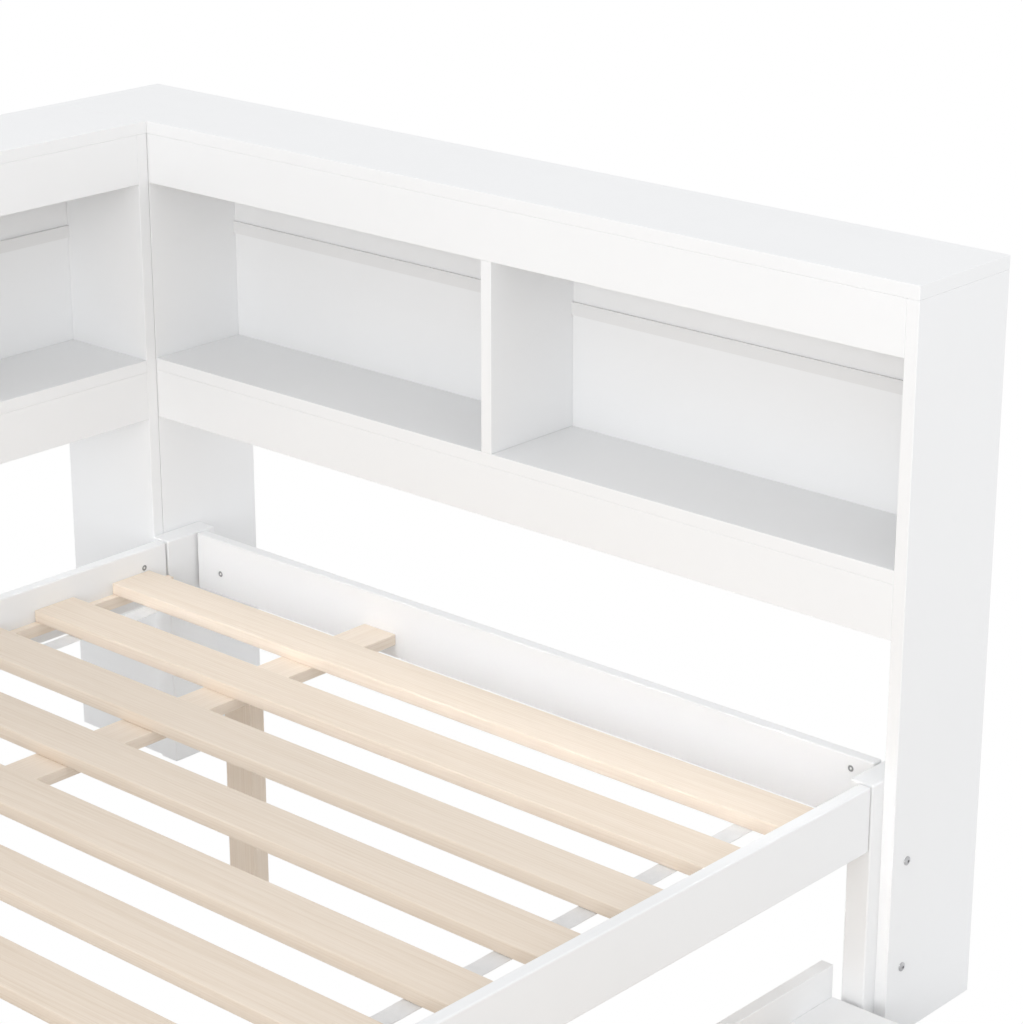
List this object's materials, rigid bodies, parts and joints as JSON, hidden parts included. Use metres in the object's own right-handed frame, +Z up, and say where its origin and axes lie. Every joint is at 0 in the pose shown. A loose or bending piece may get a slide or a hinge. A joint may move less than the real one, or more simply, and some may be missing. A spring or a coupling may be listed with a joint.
{
  "type": "daybed with trundle",
  "caption": "Daybed in white lacquered wood with open-shelf bookcases along its back and head, pale slats on a centre beam, and a low slatted trundle on casters.",
  "frame": {"origin": "on the floor, at the middle of the footprint with the trundle drawn out as in the picture", "axes": "+Z up, +X along the bed towards the head, +Y from the front of the bed to its back"},
  "size_m": [2.1414, 2.537, 1.091],
  "materials": {
    "white_lacquer": "satin white lacquer",
    "slat_wood": "planed pale softwood, unpainted",
    "dowel_wood": "plain beech",
    "white_plastic": "matte extruded strip",
    "wheel_plastic": "matte moulded",
    "webbing": "woven tape",
    "zinc_steel": "zinc plated"
  },
  "bodies": {
    "root": {"back_ledger": "slat_wood", "back_rail": "white_lacquer", "back_strap": "webbing", "barrel_nuts": "zinc_steel", "beam_leg_1": "slat_wood", "beam_leg_2": "slat_wood", "beam_leg_3": "slat_wood", "bed_slats": "slat_wood", "case_bolts": "zinc_steel", "centre_beam": "slat_wood", "corner_stretchers": "white_lacquer", "dowels": "dowel_wood", "end_back_lower": "white_lacquer", "end_back_strip": "white_plastic", "end_back_upper": "white_lacquer", "end_bottom_fascia": "white_lacquer", "end_corner_side": "white_lacquer", "end_divider": "white_lacquer", "end_front_side": "white_lacquer", "end_outer_side": "white_lacquer", "end_shelf": "white_lacquer", "end_top": "white_lacquer", "end_top_fascia": "white_lacquer", "foot_rail": "white_lacquer", "frame_screws": "zinc_steel", "front_ledger": "slat_wood", "front_rail": "white_lacquer", "front_strap": "webbing", "head_rail": "white_lacquer", "long_back_lower": "white_lacquer", "long_back_strip": "white_plastic", "long_back_upper": "white_lacquer", "long_bottom_fascia": "white_lacquer", "long_corner_side": "white_lacquer", "long_divider_1": "white_lacquer", "long_divider_2": "white_lacquer", "long_foot_side": "white_lacquer", "long_shelf": "white_lacquer", "long_top": "white_lacquer", "long_top_fascia": "white_lacquer", "post_foot_back": "white_lacquer", "post_foot_front": "white_lacquer", "post_head_back": "white_lacquer", "post_head_front": "white_lacquer", "rail_bolts": "zinc_steel"},
    "trundle": {"trundle_back_board": "white_lacquer", "trundle_back_ledger": "slat_wood", "trundle_foot_cross": "white_lacquer", "trundle_front_board": "white_lacquer", "trundle_front_ledger": "slat_wood", "trundle_head_cross": "white_lacquer", "trundle_screws": "zinc_steel", "trundle_slats": "slat_wood", "caster_brackets": "zinc_steel", "caster_screws": "zinc_steel", "caster_axles": "zinc_steel"},
    "wheel_head_back": {"caster_wheel_head_back": "wheel_plastic"},
    "wheel_head_front": {"caster_wheel_head_front": "wheel_plastic"},
    "wheel_foot_back": {"caster_wheel_foot_back": "wheel_plastic"},
    "wheel_foot_front": {"caster_wheel_foot_front": "wheel_plastic"}
  },
  "joints": [
    {"name": "trundle_roll", "type": "slide", "parent": "root", "child": "trundle", "axis": [0, 1, 0], "range_m": [-0.15, 0.876]},
    {"name": "wheel_head_back_spin", "type": "hinge", "parent": "trundle", "child": "wheel_head_back", "pos_m": [0.77775, -0.4185, 0.018], "axis": [1, 0, 0], "continuous": true},
    {"name": "wheel_head_front_spin", "type": "hinge", "parent": "trundle", "child": "wheel_head_front", "pos_m": [0.77775, -1.1785, 0.018], "axis": [1, 0, 0], "continuous": true},
    {"name": "wheel_foot_back_spin", "type": "hinge", "parent": "trundle", "child": "wheel_foot_back", "pos_m": [-0.90725, -0.4185, 0.018], "axis": [1, 0, 0], "continuous": true},
    {"name": "wheel_foot_front_spin", "type": "hinge", "parent": "trundle", "child": "wheel_foot_front", "pos_m": [-0.90725, -1.1785, 0.018], "axis": [1, 0, 0], "continuous": true}
  ],
  "couplings": [
    {"joint": "wheel_head_back_spin", "follows": "trundle_roll", "rad_per_m": -55.556},
    {"joint": "wheel_head_front_spin", "follows": "trundle_roll", "rad_per_m": -55.556},
    {"joint": "wheel_foot_back_spin", "follows": "trundle_roll", "rad_per_m": -55.556},
    {"joint": "wheel_foot_front_spin", "follows": "trundle_roll", "rad_per_m": -55.556}
  ]
}
